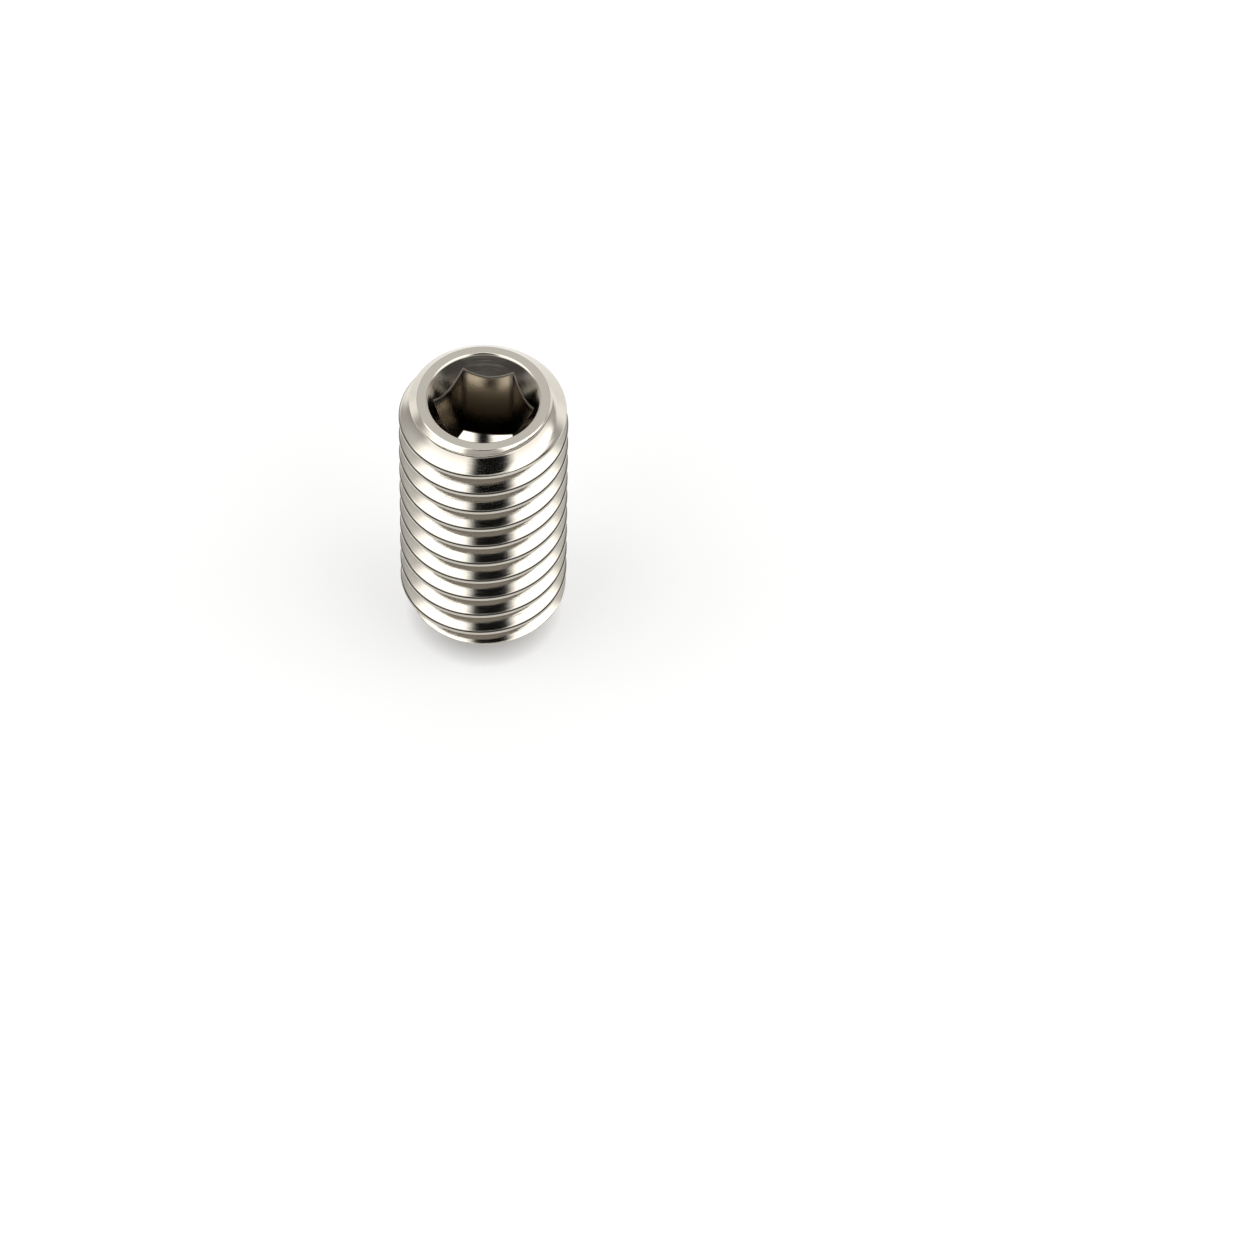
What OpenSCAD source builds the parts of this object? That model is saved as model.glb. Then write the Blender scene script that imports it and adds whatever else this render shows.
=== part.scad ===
// Grub set screw: a headless screw with a hex socket in one end and a cup point on the other.
// It stands on its point, with its axis on Z and the origin at the middle of the point's end.

/* [Thread] */
// Outside diameter of the thread
thread_d = 6; // [5:0.5:8]
// Distance along the axis from one crest to the next
pitch = 1; // [0.8:0.05:1.25]
// Width of the flat on top of each crest
crest_flat = 0.17; // [0.1:0.01:0.25]
// Width of the flat at the bottom of the groove
root_flat = 0.12; // [0.08:0.01:0.2]
// Angle between the two flanks of the groove
flank_angle = 60; // [55:1:70]
// Turn of the whole thread about the axis
thread_turn = 185; // [0:5:355]

/* [Body] */
// Length from end to end
length = 12; // [8:1:20]
// Width of the flat ring round the socket's mouth
ring_w = 0.33; // [0.1:0.01:0.4]
// How far the flat ring's outer edge lies inside the root of the thread
ring_inset = 0.04; // [0.02:0.01:0.3]
// Angle between the socket end's chamfer and the axis
top_chamfer = 45; // [35:1:60]

/* [Socket] */
// Width of the hex socket across its flats
across_flats = 3.05; // [2:0.05:3.3]
// Depth of the hex socket from the end face
socket_depth = 3.8; // [2.5:0.1:5]
// Angle between the two sides of the hollow that the drill leaves in the socket's floor
drill_angle = 150; // [118:2:170]
// Turn of the hex socket about the axis
socket_turn = 24; // [0:1:59]
// Angle between the two sides of the countersink
sink_angle = 68; // [60:1:90]

/* [Point] */
// Outside diameter of the point's end
point_d = 2.9; // [2.2:0.1:3.6]
// Angle between the point's chamfer and the axis
point_chamfer = 45; // [40:1:60]
// Width of the flat rim that the point stands on
point_rim = 0.12; // [0.05:0.01:0.3]
// Angle between the two sides of the cup in the point
cup_angle = 120; // [90:5:130]

/* [Hidden] */
steel = [0.72, 0.70, 0.66];
// Straight stretches in one turn of the thread
turn_steps = 60;
// Facets of the round forms
$fn = 96;
// How far a cutter reaches past the surface that it opens
past = 0.5;

thread_r = thread_d / 2;
flank_w = (pitch - crest_flat - root_flat) / 2;
thread_depth = flank_w / tan(flank_angle / 2);
root_r = thread_r - thread_depth;
ring_r = root_r - ring_inset;
sink_r = ring_r - ring_w;
corner_r = across_flats / 2 / cos(30);
cup_r = point_d / 2 - point_rim;

// The thread is cut over two more turns than the length holds at each end
spare_turns = 2;
turns = ceil(length / pitch) + 2 * spare_turns;
steps = turns * turn_steps;
// The profile of one pitch, from the lower edge of a crest up to the next crest: [radius, height]
profile = [
    [thread_r, 0],
    [thread_r, crest_flat],
    [root_r, crest_flat + flank_w],
    [root_r, crest_flat + flank_w + root_flat]
];
corners = len(profile);

function step_angle(i) = 360 * i / turn_steps;
// Height of the crest's lower edge at a step, climbing one pitch a turn, right-handed
function step_z(i) =
    pitch * (i / turn_steps - thread_turn / 360 - spare_turns) - crest_flat / 2;
function thread_point(i, c) = [
    profile[c][0] * cos(step_angle(i)),
    profile[c][0] * sin(step_angle(i)),
    step_z(i) + profile[c][1]
];
// Number of a point: a corner past the profile's last is the first one a turn further up
function point_id(i, c) = c < corners ? i * corners + c : (i + turn_steps) * corners;

// An endless thread, closed by a fan to the axis at each end
module threaded_rod() {
    last = steps + turn_steps;
    points = [
        for (i = [0 : last]) for (c = [0 : corners - 1]) thread_point(i, c),
        [0, 0, step_z(0)],
        [0, 0, step_z(last)]
    ];
    bottom = (last + 1) * corners;
    top = bottom + 1;
    // Each stretch of flank is twisted, so it is split into two flat triangles
    sides = [
        for (i = [0 : steps - 1]) for (c = [0 : corners - 1])
            each [
                [point_id(i, c), point_id(i, c + 1), point_id(i + 1, c + 1)],
                [point_id(i, c), point_id(i + 1, c + 1), point_id(i + 1, c)]
            ]
    ];
    bottom_fan = [for (i = [0 : turn_steps - 1]) [bottom, point_id(i, 0), point_id(i + 1, 0)]];
    bottom_step = [for (c = [0 : corners - 1]) [bottom, point_id(0, c + 1), point_id(0, c)]];
    top_fan = [
        for (i = [steps : last - 1]) [top, point_id(i + 1, 0), point_id(i, 0)]
    ];
    top_step = [
        for (c = [0 : corners - 1]) [top, point_id(steps, c), point_id(steps, c + 1)]
    ];
    polyhedron(
        points = points,
        faces = concat(sides, bottom_fan, bottom_step, top_fan, top_step)
    );
}

// The turned blank: both end faces and both chamfers, clear of the thread's crests
module blank() {
    clear_r = thread_r + past;
    top_drop = (clear_r - ring_r) / tan(top_chamfer);
    point_rise = (clear_r - point_d / 2) / tan(point_chamfer);
    rotate_extrude()
        polygon([
            [0, 0],
            [point_d / 2, 0],
            [clear_r, point_rise],
            [clear_r, length - top_drop],
            [ring_r, length],
            [0, length]
        ]);
}

// The hex socket, the countersink that leads a key into it and the drilled hollow in its floor
module socket() {
    sink_slope = tan(sink_angle / 2);
    sink_depth = sink_r / sink_slope;
    rotate([0, 0, socket_turn + 30])
        translate([0, 0, length - socket_depth])
            cylinder(h = socket_depth + past, r = corner_r, $fn = 6);
    translate([0, 0, length - sink_depth])
        cylinder(h = sink_depth + past, r1 = 0, r2 = sink_r + past * sink_slope);
    drill_depth = across_flats / 2 / tan(drill_angle / 2);
    translate([0, 0, length - socket_depth - drill_depth])
        cylinder(h = drill_depth, r1 = 0, r2 = across_flats / 2);
}

// The hollow in the point, whose edge bites into a shaft
module cup() {
    cup_slope = tan(cup_angle / 2);
    cup_depth = cup_r / cup_slope;
    translate([0, 0, -past])
        cylinder(h = cup_depth + past, r1 = cup_r + past * cup_slope, r2 = 0);
}

module set_screw() {
    color(steel)
        difference() {
            intersection() {
                blank();
                threaded_rod();
            }
            socket();
            cup();
        }
}

set_screw();
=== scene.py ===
"""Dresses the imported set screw: a finely cut steel body in place of the plain solid, in a light tent."""
import math

import bpy
from bpy.props import FloatProperty, FloatVectorProperty, IntProperty, PointerProperty
from mathutils import Matrix, Vector


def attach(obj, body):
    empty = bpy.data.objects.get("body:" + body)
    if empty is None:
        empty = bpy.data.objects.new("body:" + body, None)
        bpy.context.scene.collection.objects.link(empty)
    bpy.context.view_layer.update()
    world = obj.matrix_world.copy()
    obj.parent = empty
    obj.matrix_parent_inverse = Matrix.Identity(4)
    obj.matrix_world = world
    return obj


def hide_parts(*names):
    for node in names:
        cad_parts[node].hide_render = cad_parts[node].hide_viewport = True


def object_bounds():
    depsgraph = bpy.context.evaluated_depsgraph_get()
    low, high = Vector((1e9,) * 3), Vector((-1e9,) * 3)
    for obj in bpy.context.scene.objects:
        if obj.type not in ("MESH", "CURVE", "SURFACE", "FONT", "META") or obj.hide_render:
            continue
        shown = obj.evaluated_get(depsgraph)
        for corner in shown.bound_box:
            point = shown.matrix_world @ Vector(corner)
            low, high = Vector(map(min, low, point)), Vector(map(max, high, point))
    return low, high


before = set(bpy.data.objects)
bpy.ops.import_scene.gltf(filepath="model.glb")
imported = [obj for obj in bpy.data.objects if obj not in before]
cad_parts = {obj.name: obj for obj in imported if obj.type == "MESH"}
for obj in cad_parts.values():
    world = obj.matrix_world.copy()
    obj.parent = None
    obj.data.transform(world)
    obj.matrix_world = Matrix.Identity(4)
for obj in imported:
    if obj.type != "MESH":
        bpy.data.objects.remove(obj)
CAD_LOW, CAD_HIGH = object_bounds()

bl_info = {
    "name": "Set screw dressing",
    "version": (1, 0, 0),
    "blender": (4, 5, 0),
    "location": "3D View > Sidebar > Set screw",
    "description": "Models a polished set screw round its packed solid, with a studio to look at it in",
    "category": "Object",
}

# The bench works in millimetres, and a finished piece is scaled down to metres
MM = 0.001
NODE = "set_screw"
BODY = "root"
LENGTH = (CAD_HIGH.z - CAD_LOW.z) / MM
THREAD_R = (CAD_HIGH.x - CAD_LOW.x) / 2 / MM
# Points closer than this are one point
WELD = 0.0005
# How far a point may lie from a flat of the socket and still be on it
ON_FLAT = 0.002
# How far a cutter reaches past the end that it opens
PAST = 1
# Cuts across a rounded edge, and across the wider one at the socket's mouth
EDGE_CUTS = 3
MOUTH_CUTS = 4
# Edges that turn by less than this look smooth
SMOOTH_ANGLE = math.radians(35)

# Where a painted shade on the thread starts and where it is full, in parts of a pitch. The first two are
# counted up from the crest below, and the others both ways from the nearest crest
UNDER_SHADE_START = (0.50, 0.62)
UNDER_SHADE_END = (0.95, 0.90)
EDGE_SHADE_START = (0.045, 0.060)
EDGE_SHADE_END = (0.120, 0.095)
CREST_SHADE_END = (0.060, 0.045)
# How much of its colour each painted shade gets
UNDER_SHADE_STRENGTH = 0.9
ROOT_SHADE_STRENGTH = 0.55
CREST_SHADE_STRENGTH = 0.3
CORNER_SHADE_STRENGTH = 0.85
SINK_SHADE_STRENGTH = 0.6
# How fine the turning marks are across the cut and along it, to the millimetre, and how high they stand
MARKS_ACROSS = 9
MARKS_ALONG = 0.35
MARKS_HEIGHT = 0.05
# What each place adds to the roughness
MARKS_ROUGH = 0.08
MOUTH_ROUGH = 0.4
SOCKET_ROUGH = 0.06
SINK_ROUGH = 0.02


class ScrewSizes(bpy.types.PropertyGroup):
    """Sizes of the screw, in millimetres"""

    pitch: FloatProperty(name="Pitch", description="Distance from crest to crest", default=1.0)
    crest_flat: FloatProperty(name="Crest flat", description="Width of a crest", default=0.17)
    root_flat: FloatProperty(name="Root flat", description="Width of a root", default=0.12)
    flank_angle: FloatProperty(
        name="Flank angle", description="Angle between the two flanks",
        default=math.radians(60), subtype="ANGLE",
    )
    thread_turn: FloatProperty(
        name="Thread turn", description="Turn of the thread about the axis",
        default=math.radians(185), subtype="ANGLE",
    )
    ring_inset: FloatProperty(
        name="Ring inset", description="From the root in to the flat ring", default=0.04
    )
    ring_w: FloatProperty(name="Ring width", description="Width of the flat ring", default=0.33)
    sink_angle: FloatProperty(
        name="Countersink angle", description="Angle between its two sides",
        default=math.radians(68), subtype="ANGLE",
    )
    across_flats: FloatProperty(name="Across flats", description="Width of the hex socket", default=3.05)
    socket_depth: FloatProperty(
        name="Socket depth", description="From the end face to its floor", default=3.8
    )
    drill_angle: FloatProperty(
        name="Drill angle", description="Angle of the drilled cone that the socket's hollow is as deep as",
        default=math.radians(150), subtype="ANGLE",
    )
    socket_turn: FloatProperty(
        name="Socket turn", description="Turn of the hex about the axis",
        default=math.radians(24), subtype="ANGLE",
    )
    point_d: FloatProperty(
        name="Point diameter", description="Outside diameter of the point's end", default=2.9
    )
    point_rim: FloatProperty(name="Point rim", description="Width of the rim it stands on", default=0.12)
    cup_angle: FloatProperty(
        name="Cup angle", description="Angle between the cup's two sides",
        default=math.radians(120), subtype="ANGLE",
    )
    crest_round: FloatProperty(
        name="Crest rounding", description="Rounding of a crest's edges", default=0.055
    )
    root_round: FloatProperty(name="Root rounding", description="Rounding of a root's edges", default=0.06)
    edge_round: FloatProperty(name="Edge rounding", description="Rounding of the turned edges", default=0.03)
    sink_round: FloatProperty(
        name="Mouth rounding", description="Rounding of the ring's inner edge", default=0.07
    )
    press_round: FloatProperty(
        name="Chamfer rounding", description="Rounding where a chamfer cuts the thread", default=0.09
    )
    columns: IntProperty(name="Columns", description="Stretches in one turn", default=120)
    flank_cuts: IntProperty(name="Flank cuts", description="Cuts along one flank", default=19)


class SteelFinish(bpy.types.PropertyGroup):
    """Colour and polish of the steel, and the colours of its painted shade"""

    colour: FloatVectorProperty(
        name="Colour", description="Colour of the polished steel",
        size=3, subtype="COLOR", default=(0.66, 0.62, 0.55),
    )
    # Painted shade: darkens the groove, the crests a little, and the countersink
    groove_shade_colour: FloatVectorProperty(
        name="Groove", description="Colour in the thread's groove",
        size=3, subtype="COLOR", default=(0.28, 0.255, 0.225),
    )
    # Painted shade: a thin dark line along both edges of each crest, and dark corners in the socket
    edge_shade_colour: FloatVectorProperty(
        name="Edges", description="Colour of a crest's two edges and of the socket's corners",
        size=3, subtype="COLOR", default=(0.08, 0.074, 0.066),
    )
    # Painted shade: the socket darkens from its mouth down to its floor
    socket_shade_colour: FloatVectorProperty(
        name="Socket", description="Colour of the socket near its mouth",
        size=3, subtype="COLOR", default=(0.38, 0.33, 0.265),
    )
    deep_shade_colour: FloatVectorProperty(
        name="Deep socket", description="Colour deep in the socket",
        size=3, subtype="COLOR", default=(0.12, 0.103, 0.08),
    )
    polish: FloatProperty(name="Roughness", description="Roughness of the polished faces", default=0.10)
    mark_depth: FloatProperty(name="Tool marks", description="Strength of the turning marks", default=0.09)


class StudioLook(bpy.types.PropertyGroup):
    """The studio that the screw stands in"""

    floor_colour: FloatVectorProperty(
        name="Floor", description="Colour of the floor", size=3, subtype="COLOR", default=(0.56, 0.56, 0.56)
    )
    floor_lift: FloatProperty(
        name="Floor lift", description="Added to the floor where it is seen", default=0.44
    )
    contact: FloatProperty(
        name="Contact", description="How near the screw the floor darkens, in millimetres", default=1.0
    )
    tent_r: FloatProperty(name="Tent", description="Radius of the light tent", default=0.9, unit="LENGTH")
    elevation: FloatProperty(
        name="Camera elevation", description="How far the camera looks down",
        default=math.radians(51.8), subtype="ANGLE",
    )
    distance: FloatProperty(
        name="Camera distance", description="From the screw's middle", default=0.29, unit="LENGTH"
    )
    across: FloatProperty(
        name="Aim across", description="How far right of the screw it aims, in millimetres", default=5.134
    )
    below: FloatProperty(
        name="Aim below", description="How far below the screw it aims, in millimetres", default=4.42
    )
    lens: FloatProperty(name="Lens", description="Focal length", default=232.7, unit="CAMERA")


def bench_clear():
    """Leaves edit mode and deselects everything."""
    if bpy.context.object and bpy.context.object.mode != "OBJECT":
        bpy.ops.object.mode_set(mode="OBJECT")
    bpy.ops.object.select_all(action="DESELECT")


def draw_chain(name, points):
    """An object of one line of edges through points, given as (radius, height), in the plane of X and Z."""
    bench_clear()
    first = Vector((points[0][0], 0, points[0][1]))
    bpy.ops.mesh.primitive_plane_add(size=1, location=first)
    bpy.context.object.name = name
    bpy.ops.object.transform_apply(location=True)
    bpy.ops.object.mode_set(mode="EDIT")
    bpy.ops.mesh.select_mode(type="VERT")
    bpy.ops.mesh.select_all(action="SELECT")
    bpy.ops.mesh.merge(type="CENTER")
    for here, there in zip(points, points[1:]):
        move = (there[0] - here[0], 0, there[1] - here[1])
        bpy.ops.mesh.extrude_vertices_move(TRANSFORM_OT_translate={"value": move})
    bpy.ops.object.mode_set(mode="OBJECT")
    return bpy.context.object


def pick(obj, verts=None, edges=None):
    """Selects in edit mode the points or edges for which the given test is true."""
    bpy.ops.object.mode_set(mode="EDIT")
    bpy.ops.mesh.select_mode(type="VERT" if verts else "EDGE")
    bpy.ops.mesh.select_all(action="DESELECT")
    bpy.ops.object.mode_set(mode="OBJECT")
    mesh = obj.data
    if verts:
        for vert in mesh.vertices:
            vert.select = verts(vert.co)
    if edges:
        for edge in mesh.edges:
            edge.select = edges(*(mesh.vertices[i].co for i in edge.vertices))
    bpy.ops.object.mode_set(mode="EDIT")


def round_corners(obj, corners, offset, segments):
    """Rounds the chain's points that stand at the given (radius, height) corners."""
    pick(obj, verts=lambda co: any(math.hypot(co.x - r, co.z - z) < WELD for r, z in corners))
    bpy.ops.mesh.bevel(offset=offset, segments=segments, affect="VERTICES", clamp_overlap=False)
    bpy.ops.object.mode_set(mode="OBJECT")


def cut_flanks(obj, low_r, high_r, cuts):
    """Divides the chain's long flanks, which reach from root to crest."""
    reach = (high_r - low_r) / 2
    pick(obj, edges=lambda a, b: abs(a.x - b.x) > reach)
    bpy.ops.mesh.subdivide(number_cuts=cuts)
    bpy.ops.object.mode_set(mode="OBJECT")


def apply_modifier(obj, kind, **settings):
    """Adds a modifier to obj, sets it and applies it."""
    bpy.context.view_layer.objects.active = obj
    bpy.ops.object.modifier_add(type=kind)
    modifier = obj.modifiers[-1]
    for key, value in settings.items():
        setattr(modifier, key, value)
    bpy.ops.object.modifier_apply(modifier=modifier.name)


def spin_chain(obj, columns):
    """Turns a chain into a shell all round the axis."""
    pick(obj, verts=lambda co: True)
    bpy.ops.mesh.spin(steps=columns, angle=math.tau, center=(0, 0, 0), axis=(0, 0, 1))
    bpy.ops.object.mode_set(mode="OBJECT")


def soft_min(a, b, width):
    """The lesser of a and b, rounded where they differ by less than width."""
    near = max(width - abs(a - b), 0) / width
    return min(a, b) - near * near * width / 4


class Screw:
    """The sizes that several steps of the screw share, worked out once."""

    def __init__(self, sizes):
        self.sizes = sizes
        self.flank_w = (sizes.pitch - sizes.crest_flat - sizes.root_flat) / 2
        self.root_r = THREAD_R - self.flank_w / math.tan(sizes.flank_angle / 2)
        self.ring_r = self.root_r - sizes.ring_inset
        self.sink_r = self.ring_r - sizes.ring_w
        self.sink_slope = math.tan(sizes.sink_angle / 2)
        self.floor = LENGTH - sizes.socket_depth
        self.corner_r = sizes.across_flats / 2 / math.cos(math.pi / 6)
        # The socket's drilled hollow reaches just past the hex's corners
        self.drill_r = self.corner_r + 0.01
        self.point_r = sizes.point_d / 2
        self.cup_r = self.point_r - sizes.point_rim
        # The thread is cut between these heights. Below and above them are the edges of the turned ends
        edge_band = 1.5 * sizes.edge_round
        self.low = edge_band
        self.high = LENGTH - edge_band

    def chamfer_top(self, z):
        """Radius of the socket end's chamfer at a height."""
        return self.ring_r + LENGTH - z

    def chamfer_point(self, z):
        """Radius of the point's chamfer at a height."""
        return self.point_r + z

    def press(self, co):
        """Moves a point of the endless thread in under the chamfers, and between the two ends."""
        z = min(max(co.z, self.low), self.high)
        radius = math.hypot(co.x, co.y)
        if z == co.z:
            pressed = soft_min(radius, self.chamfer_top(z), self.sizes.press_round)
            pressed = soft_min(pressed, self.chamfer_point(z), self.sizes.press_round)
        else:
            # What is past an end gathers on the circle that the turned end starts from
            pressed = min(self.chamfer_top(z), self.chamfer_point(z))
        return Vector((co.x * pressed / radius, co.y * pressed / radius, z))

    def socket_chain(self):
        """The socket end from its chamfer to the countersink's tip: two edges are at 1 and 2."""
        return [
            (self.chamfer_top(self.high), self.high),
            (self.ring_r, LENGTH),
            (self.sink_r, LENGTH),
            (0, LENGTH - self.sink_r / self.sink_slope),
        ]

    def point_chain(self):
        """The point from its chamfer to the cup's tip: two edges are at 1 and 2."""
        return [
            (self.chamfer_point(self.low), self.low),
            (self.point_r, 0),
            (self.cup_r, 0),
            (0, self.cup_r / math.tan(self.sizes.cup_angle / 2)),
        ]


def model_thread(screw):
    """The thread, from one root's middle to the next, wound up the axis and pressed in under the chamfers."""
    sizes = screw.sizes
    spare = 1
    start = -sizes.pitch * (sizes.thread_turn / math.tau + spare + 0.5)
    flats = [
        (screw.root_r, start + sizes.root_flat / 2),
        (THREAD_R, start + sizes.root_flat / 2 + screw.flank_w),
        (THREAD_R, start + sizes.root_flat / 2 + screw.flank_w + sizes.crest_flat),
        (screw.root_r, start + sizes.pitch - sizes.root_flat / 2),
    ]
    chain = [(screw.root_r, start), *flats, (screw.root_r, start + sizes.pitch)]
    thread = draw_chain("thread", chain)
    round_corners(thread, flats[:1] + flats[3:], sizes.root_round, EDGE_CUTS)
    round_corners(thread, flats[1:3], sizes.crest_round, EDGE_CUTS)
    cut_flanks(thread, screw.root_r, THREAD_R, sizes.flank_cuts)
    turns = math.ceil(LENGTH / sizes.pitch) + 2 * spare + 1
    apply_modifier(
        thread, "SCREW", axis="Z", angle=math.tau, screw_offset=sizes.pitch, iterations=turns,
        steps=sizes.columns, render_steps=sizes.columns,
        use_merge_vertices=False, use_normal_calculate=False,
    )
    for vert in thread.data.vertices:
        vert.co = screw.press(vert.co)
    return thread


def model_end(screw, name, chain, inner_round):
    """One turned end: a chain whose outer and inner edges are rounded, spun round the axis."""
    end = draw_chain(name, chain)
    round_corners(end, chain[1:2], screw.sizes.edge_round, EDGE_CUTS)
    round_corners(end, chain[2:3], inner_round, MOUTH_CUTS)
    spin_chain(end, screw.sizes.columns)
    return end


def weld(parts):
    """Joins parts into the first and merges the points that they share."""
    bench_clear()
    for part in parts:
        part.select_set(True)
    bpy.context.view_layer.objects.active = parts[0]
    bpy.ops.object.join()
    pick(parts[0], verts=lambda co: True)
    bpy.ops.mesh.remove_doubles(threshold=WELD)
    bpy.ops.mesh.normals_make_consistent(inside=False)
    bpy.ops.object.mode_set(mode="OBJECT")
    return parts[0]


def model_drill(screw, dish):
    """A round bar, wider than the hex, whose lower end is a shallow ball as deep as dish."""
    sizes = screw.sizes
    rim_r = screw.drill_r
    ball_r = (rim_r * rim_r + dish * dish) / (2 * dish)
    bench_clear()
    bpy.ops.mesh.primitive_uv_sphere_add(
        segments=sizes.columns, ring_count=96, radius=ball_r, location=(0, 0, screw.floor - dish + ball_r)
    )
    drill = bpy.context.object
    bpy.ops.object.transform_apply(location=True)
    bpy.ops.object.mode_set(mode="EDIT")
    bpy.ops.mesh.select_all(action="SELECT")
    bpy.ops.mesh.bisect(plane_co=(0, 0, screw.floor), plane_no=(0, 0, 1), use_fill=True, clear_outer=True)
    reach = sizes.socket_depth + 2 * PAST
    bpy.ops.mesh.extrude_region_move(TRANSFORM_OT_translate={"value": (0, 0, reach)})
    bpy.ops.object.mode_set(mode="OBJECT")
    return drill


def model_broach(screw):
    """The cutter for the socket: a hex bar whose lower end is dished, as deep as the drill's cone."""
    sizes = screw.sizes
    dish = screw.drill_r / math.tan(sizes.drill_angle / 2)
    drill = model_drill(screw, dish)
    bench_clear()
    nose = screw.floor - 2 * dish
    bar = LENGTH + PAST - nose
    bpy.ops.mesh.primitive_cylinder_add(
        vertices=6, radius=screw.corner_r, depth=bar,
        location=(0, 0, nose + bar / 2), rotation=(0, 0, sizes.socket_turn),
    )
    broach = bpy.context.object
    bpy.ops.object.transform_apply(location=True, rotation=True)
    bench_clear()
    apply_modifier(broach, "BOOLEAN", operation="INTERSECT", solver="EXACT", object=drill)
    bpy.data.objects.remove(drill)
    # Each flat is split at half its height, so that no face has both the curved mouth and the curved foot
    pick(broach, verts=lambda co: True)
    bpy.ops.mesh.bisect(plane_co=(0, 0, screw.floor + sizes.socket_depth / 2), plane_no=(0, 0, 1))
    bpy.ops.object.mode_set(mode="OBJECT")
    return broach


def broach_socket(screw, body):
    """Cuts the hex socket down into the body and rounds its mouth."""
    sizes = screw.sizes
    broach = model_broach(screw)
    bench_clear()
    apply_modifier(body, "BOOLEAN", operation="DIFFERENCE", solver="EXACT", object=broach)
    bpy.data.objects.remove(broach)
    clear_of_floor = screw.floor + 0.5
    upright = 0.8

    def on_wall(co):
        turn = (math.atan2(co.y, co.x) - sizes.socket_turn) % (math.pi / 3) - math.pi / 6
        reach = math.hypot(co.x, co.y) * math.cos(abs(turn) - math.pi / 6)
        return abs(reach - sizes.across_flats / 2) < ON_FLAT and co.z > clear_of_floor

    def on_mouth(a, b):
        return on_wall(a) and on_wall(b) and abs(a.z - b.z) < upright * (a - b).length

    pick(body, edges=on_mouth)
    bpy.ops.mesh.bevel(offset=sizes.edge_round, segments=EDGE_CUTS, affect="EDGES", clamp_overlap=False)
    bpy.ops.object.mode_set(mode="OBJECT")


def finish_piece(obj, name, material):
    """Shades the bench model, brings it to metres and gives it its material."""
    bench_clear()
    obj.name = name
    obj.data.name = name
    obj.select_set(True)
    bpy.context.view_layer.objects.active = obj
    bpy.ops.object.shade_smooth_by_angle(angle=SMOOTH_ANGLE)
    apply_modifier(obj, "WEIGHTED_NORMAL", keep_sharp=True, weight=50)
    bpy.ops.transform.resize(value=(MM, MM, MM))
    bpy.ops.object.transform_apply(scale=True)
    obj.data.materials.clear()
    obj.data.materials.append(material)


class Wire:
    """One output of a node. Arithmetic on it adds Math nodes."""

    def __init__(self, graph, socket):
        self.graph = graph
        self.socket = socket

    def math(self, operation, *others):
        """A Math node of this operation, with this wire first."""
        return self.graph.node("ShaderNodeMath", {"operation": operation}, [self, *others])

    def __add__(self, other):
        return self.math("ADD", other)

    def __sub__(self, other):
        return self.math("SUBTRACT", other)

    def __mul__(self, other):
        return self.math("MULTIPLY", other)

    def __truediv__(self, other):
        return self.math("DIVIDE", other)

    def __rsub__(self, other):
        return self.graph.node("ShaderNodeMath", {"operation": "SUBTRACT"}, [other, self])

    def __rtruediv__(self, other):
        return self.graph.node("ShaderNodeMath", {"operation": "DIVIDE"}, [other, self])

    __radd__ = __add__
    __rmul__ = __mul__

    def step(self, low, high):
        """0 below low and 1 above high, smooth between; the other way round where low is the greater."""
        ends = [self, low, high, 0, 1] if low < high else [self, high, low, 1, 0]
        return self.graph.node("ShaderNodeMapRange", {"interpolation_type": "SMOOTHSTEP"}, ends)


class Graph:
    """The nodes of one material or world."""

    def __init__(self, owner):
        owner.use_nodes = True
        self.tree = owner.node_tree
        self.tree.nodes.clear()

    def node(self, kind, settings, inputs, output=0):
        """Adds a node, sets it up, and gives its inputs their values or links, by number or by name."""
        node = self.tree.nodes.new(kind)
        for key, value in settings.items():
            setattr(node, key, value)
        pairs = inputs.items() if isinstance(inputs, dict) else enumerate(inputs)
        for key, value in pairs:
            if isinstance(value, Wire):
                self.tree.links.new(value.socket, node.inputs[key])
            else:
                node.inputs[key].default_value = value
        if not node.outputs:
            return node
        if isinstance(output, str):
            return Wire(self, node.outputs[output])
        shown = [socket for socket in node.outputs if socket.enabled]
        return Wire(self, shown[output])

    def axes(self, scale):
        """X, Y and Z of the place on the object, in units of scale, as three wires."""
        place = self.node("ShaderNodeTexCoord", {}, {}, "Object")
        return [self.node("ShaderNodeSeparateXYZ", {}, [place], axis) / scale for axis in "XYZ"]

    def mix(self, factor, a, b):
        """Colour a where factor is 0 and b where it is 1."""
        return self.node("ShaderNodeMix", {"data_type": "RGBA"}, {0: factor, 6: a, 7: b})


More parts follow.
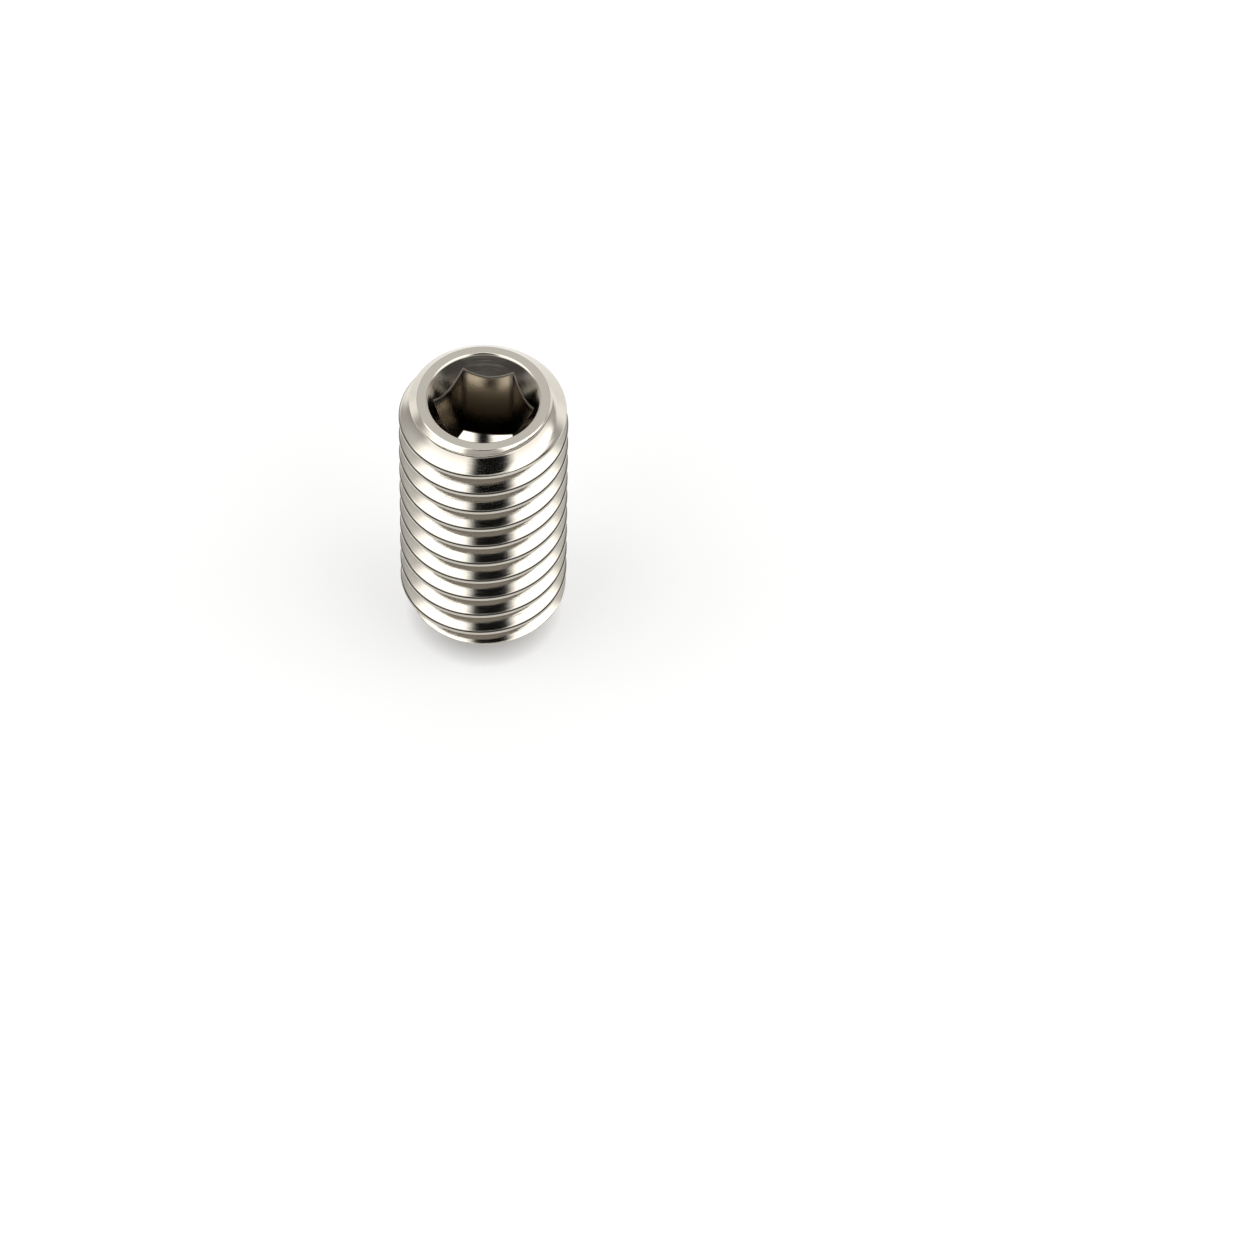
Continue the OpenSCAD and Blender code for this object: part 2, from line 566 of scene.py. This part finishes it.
def thread_colour(graph, screw, finish, place):
    """Bright steel with painted shade: browner in the groove, a little on each crest, and a thin dark line
    along both edges of each crest.
    """
    sizes = screw.sizes
    x, y, z, radius = place
    round_axis = y.math("ARCTAN2", x) / math.tau
    # Part of a pitch above the crest below: 0 on a crest, a half at the root
    phase = (z / sizes.pitch - round_axis + sizes.thread_turn / math.tau).math("FRACT")
    off_crest = phase.math("MINIMUM", 1 - phase)
    # Painted shade under each crest, on the lower flank from the root up to the crest's edge
    under = phase.step(*UNDER_SHADE_START) * phase.step(*UNDER_SHADE_END)
    # Painted shade: a thin dark line along both edges of each crest
    edge = off_crest.step(*EDGE_SHADE_START) * off_crest.step(*EDGE_SHADE_END)
    # Painted shade, light, on each crest itself
    crest = off_crest.step(*CREST_SHADE_END)
    # Painted shade in the root
    inner = radius.step(THREAD_R - 0.15, screw.root_r)
    # The thread's painted shade stops short of the chamfers, and of all that lies inside the root
    chamfers = (LENGTH + screw.ring_r - z).math("MINIMUM", z + screw.point_r)
    thread = radius.step(screw.root_r - 0.03, screw.root_r - 0.005) * (chamfers - radius).step(0.02, 0.08)
    groove = (under * UNDER_SHADE_STRENGTH).math("MAXIMUM", inner * ROOT_SHADE_STRENGTH) * thread
    colour = graph.mix(groove, (*finish.colour, 1), (*finish.groove_shade_colour, 1))
    colour = graph.mix(crest * thread * CREST_SHADE_STRENGTH, colour, (*finish.groove_shade_colour, 1))
    return graph.mix(edge * thread, colour, (*finish.edge_shade_colour, 1))


def socket_masks(screw, place):
    """Where the socket's walls, its mouth and the countersink are, as three wires."""
    sizes = screw.sizes
    x, y, z, radius = place
    # The hex lies below the countersink's cone, and its mouth is where the two meet
    sink = screw.sink_r - (LENGTH - z) * screw.sink_slope - radius
    facings = [sizes.socket_turn + k * math.pi / 3 for k in range(3)]
    reach = [(x * math.cos(facing) + y * math.sin(facing)).math("ABSOLUTE") for facing in facings]
    wall = reach[0].math("MAXIMUM", reach[1]).math("MAXIMUM", reach[2]) - sizes.across_flats / 2
    # Each step runs from where its mask starts to where it is full
    on_cone = sink.math("ABSOLUTE").step(0.05, 0.02)
    near_top = z.step(LENGTH - 1, LENGTH - 0.9)
    inside = radius.step(screw.corner_r + 0.09, screw.corner_r + 0.04)
    above_floor = z.step(screw.floor - 1, screw.floor - 0.5)
    walls = sink.step(-0.01, -0.05) * inside * wall.step(-0.03, -0.01) * above_floor
    mouth = on_cone * wall.math("ABSOLUTE").step(0.035, 0.015) * near_top
    cone = on_cone * radius.step(screw.sink_r + 0.02, screw.sink_r - 0.02) * near_top
    return walls, mouth, cone


def steel_material(screw, finish):
    """Polished steel, turned round the axis, with painted shade in the groove, down the socket and on the
    countersink.
    """
    material = bpy.data.materials.new("polished_steel")
    graph = Graph(material)
    x, y, z = graph.axes(MM)
    radius = (x * x + y * y).math("SQRT")
    place = (x, y, z, radius)
    colour = thread_colour(graph, screw, finish, place)
    walls, mouth, cone = socket_masks(screw, place)
    # Painted shade: the socket darkens with depth and towards the hex's corners
    deep = z.step(LENGTH - 0.8, LENGTH - 3.4)
    corners = radius.step(screw.corner_r - 0.09, screw.corner_r - 0.02)
    socket = graph.mix(deep, (*finish.socket_shade_colour, 1), (*finish.deep_shade_colour, 1))
    socket = graph.mix(corners * CORNER_SHADE_STRENGTH, socket, (*finish.edge_shade_colour, 1))
    colour = graph.mix(walls, colour, socket)
    # Painted shade on the countersink's cone
    colour = graph.mix(cone * SINK_SHADE_STRENGTH, colour, (*finish.groove_shade_colour, 1))

    # The noise is fine across the cut and long round the axis
    marks_place = graph.node(
        "ShaderNodeCombineXYZ", {}, [radius * MARKS_ACROSS, z * MARKS_ACROSS, x * MARKS_ALONG]
    )
    marks = graph.node(
        "ShaderNodeTexNoise", {"noise_dimensions": "4D"},
        {"Vector": marks_place, "W": y * MARKS_ALONG, "Scale": 1.0, "Detail": 4.0, "Roughness": 0.65}, "Fac",
    )
    smooth = finish.polish - MARKS_ROUGH / 2
    roughness = marks * MARKS_ROUGH + mouth * MOUTH_ROUGH + walls * SOCKET_ROUGH + cone * SINK_ROUGH + smooth
    bump = graph.node(
        "ShaderNodeBump", {},
        {"Strength": finish.mark_depth, "Distance": MARKS_HEIGHT * MM, "Height": marks}, "Normal",
    )
    shader = graph.node(
        "ShaderNodeBsdfPrincipled", {},
        {"Base Color": colour, "Metallic": 1.0, "Roughness": roughness, "Normal": bump}, "BSDF",
    )
    graph.node("ShaderNodeOutputMaterial", {}, {"Surface": shader})
    return material


def floor_material(look):
    """Matt floor, lifted to white for the camera, metal and glass, but for where the screw stands close."""
    material = bpy.data.materials.new("studio_floor")
    graph = Graph(material)
    matt = graph.node("ShaderNodeBsdfDiffuse", {}, {"Color": (*look.floor_colour, 1)}, "BSDF")
    camera, mirror, glass = (
        graph.node("ShaderNodeLightPath", {}, {}, f"Is {kind} Ray")
        for kind in ("Camera", "Glossy", "Transmission")
    )
    seen = camera.math("MAXIMUM", mirror).math("MAXIMUM", glass)
    open_sky = graph.node("ShaderNodeAmbientOcclusion", {"samples": 2}, {"Distance": look.contact * MM}, "AO")
    strength = seen * open_sky * look.floor_lift
    glow = graph.node("ShaderNodeEmission", {}, {"Color": (1, 1, 1, 1), "Strength": strength}, "Emission")
    both = graph.node("ShaderNodeAddShader", {}, [matt, glow], "Shader")
    graph.node("ShaderNodeOutputMaterial", {}, {"Surface": both})
    return material


def tent_material(look):
    """The light tent's cloth: two lit walls with a dark slot between them, and grey all round."""
    material = bpy.data.materials.new("studio_tent")
    graph = Graph(material)
    # Places on the cloth are parts of the tent's radius. The walls and the slot are on the side of minus Y
    x, y, z = graph.axes(look.tent_r)
    aside = x.math("ABSOLUTE")
    ceiling = z.step(0.35, 0.65)
    horizon = y.step(0.2, 0.5) * z.step(0.32, 0.20)
    lit_walls = y.step(0.30, 0.06) * z.step(0.30, 0.46)
    front = aside.step(0.50, 0.30) * y.step(-0.55, -0.72) * z.step(0.80, 0.70)
    skirt = y.step(0.0, -0.3) * z.step(0.44, 0.30)
    # The slot is wider towards the front
    widening = y.step(-0.22, -0.30) * 0.125
    slot = (aside - widening).step(0.24, 0.06) * y.step(0.10, 0.0) * z.step(0.70, 0.84)
    cloth = (0.5, 0.495, 0.49, 1)
    patches = (
        (ceiling, (0.75, 0.75, 0.745, 1)),
        (horizon, (1.2, 1.2, 1.19, 1)),
        (lit_walls, (2.0, 2.0, 1.98, 1)),
        (front, (0.55, 0.545, 0.54, 1)),
        (skirt, (0.10, 0.097, 0.094, 1)),
        (slot, (0.006, 0.006, 0.006, 1)),
    )
    for patch, colour in patches:
        cloth = graph.mix(patch, cloth, colour)
    glow = graph.node("ShaderNodeEmission", {}, {"Color": cloth, "Strength": 1.0}, "Emission")
    graph.node("ShaderNodeOutputMaterial", {}, {"Surface": glow})
    # The screw's rays find the tent by themselves, so its cloth isn't sampled as a lamp as well
    material.cycles.emission_sampling = "NONE"
    return material


def pitch_tent(look):
    """A round tent of lit cloth over the floor, which the camera looks through."""
    foot = -0.01
    bench_clear()
    bpy.ops.mesh.primitive_uv_sphere_add(segments=64, ring_count=32, radius=look.tent_r)
    tent = bpy.context.object
    tent.name = "studio_tent"
    bpy.ops.object.mode_set(mode="EDIT")
    bpy.ops.mesh.select_all(action="SELECT")
    bpy.ops.mesh.bisect(plane_co=(0, 0, foot), plane_no=(0, 0, -1), clear_outer=True)
    bpy.ops.object.mode_set(mode="OBJECT")
    bpy.ops.object.shade_smooth()
    tent.data.materials.append(tent_material(look))
    tent.visible_camera = False


def lay_floor(look):
    """A flat pale floor at the height that the screw stands on."""
    bench_clear()
    bpy.ops.mesh.primitive_plane_add(size=2, location=(0, 0, CAD_LOW.z))
    floor = bpy.context.object
    floor.name = "studio_floor"
    floor.data.materials.append(floor_material(look))


def white_world():
    """The white background past the tent."""
    world = bpy.data.worlds.new("studio")
    bpy.context.scene.world = world
    graph = Graph(world)
    background = graph.node(
        "ShaderNodeBackground", {}, {"Color": (1, 1, 1, 1), "Strength": 1.0}, "Background"
    )
    graph.node("ShaderNodeOutputWorld", {}, {"Surface": background})


def place_camera(scene, look):
    """Puts the camera at its elevation and distance, aimed beside the screw."""
    middle = (CAD_LOW + CAD_HIGH) / 2
    back = Vector((0, -math.cos(look.elevation), math.sin(look.elevation)))
    up = Vector((0, math.sin(look.elevation), math.cos(look.elevation)))
    place = middle + back * look.distance
    aim = middle + Vector((look.across * MM, 0, 0)) - up * look.below * MM
    # The camera's up lies in the plane through it and the screw's axis, so the axis stands upright
    forward = (aim - place).normalized()
    upright = Vector((1, 0, 0)).cross(forward).normalized()
    turn = Matrix((forward.cross(upright), upright, -forward)).transposed()
    bpy.ops.object.camera_add(location=place, rotation=turn.to_euler())
    scene.camera = bpy.context.object
    scene.camera.data.lens = look.lens


class SETSCREW_OT_body(bpy.types.Operator):
    """Models the steel screw: its thread, its turned ends and its hex socket"""

    bl_idname = "setscrew.body"
    bl_label = "Steel screw"

    def execute(self, context):
        screw = Screw(context.scene.screw_sizes)
        thread = model_thread(screw)
        socket_end = model_end(screw, "socket_end", screw.socket_chain(), screw.sizes.sink_round)
        point_end = model_end(screw, "point_end", screw.point_chain(), screw.sizes.edge_round)
        body = weld([thread, socket_end, point_end])
        broach_socket(screw, body)
        finish_piece(body, "steel_screw", steel_material(screw, context.scene.steel_finish))
        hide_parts(NODE)
        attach(body, BODY)
        return {"FINISHED"}


class SETSCREW_OT_studio(bpy.types.Operator):
    """Lays the floor, pitches the light tent and places the camera"""

    bl_idname = "setscrew.studio"
    bl_label = "Studio"

    def execute(self, context):
        look = context.scene.studio_look
        lay_floor(look)
        pitch_tent(look)
        white_world()
        place_camera(context.scene, look)
        context.scene.view_settings.view_transform = "Standard"
        return {"FINISHED"}


class SETSCREW_PT_panel(bpy.types.Panel):
    """The screw's steps, in the sidebar"""

    bl_label = "Set screw"
    bl_idname = "SETSCREW_PT_panel"
    bl_space_type = "VIEW_3D"
    bl_region_type = "UI"
    bl_category = "Set screw"

    def draw(self, context):
        for group in ("screw_sizes", "steel_finish", "studio_look"):
            values = getattr(context.scene, group)
            for key in values.__annotations__:
                self.layout.prop(values, key)
        for operator in (SETSCREW_OT_studio, SETSCREW_OT_body):
            self.layout.operator(operator.bl_idname)


CLASSES = (ScrewSizes, SteelFinish, StudioLook, SETSCREW_OT_body, SETSCREW_OT_studio, SETSCREW_PT_panel)


def register():
    """Adds the classes and their settings to Blender."""
    for cls in CLASSES:
        bpy.utils.register_class(cls)
    bpy.types.Scene.screw_sizes = PointerProperty(type=ScrewSizes)
    bpy.types.Scene.steel_finish = PointerProperty(type=SteelFinish)
    bpy.types.Scene.studio_look = PointerProperty(type=StudioLook)


def unregister():
    """Takes the settings and the classes out again."""
    del bpy.types.Scene.studio_look
    del bpy.types.Scene.steel_finish
    del bpy.types.Scene.screw_sizes
    for cls in reversed(CLASSES):
        bpy.utils.unregister_class(cls)


def main():
    """Runs every step in order."""
    register()
    bpy.ops.setscrew.studio()
    bpy.ops.setscrew.body()


if __name__ == "__main__":
    main()
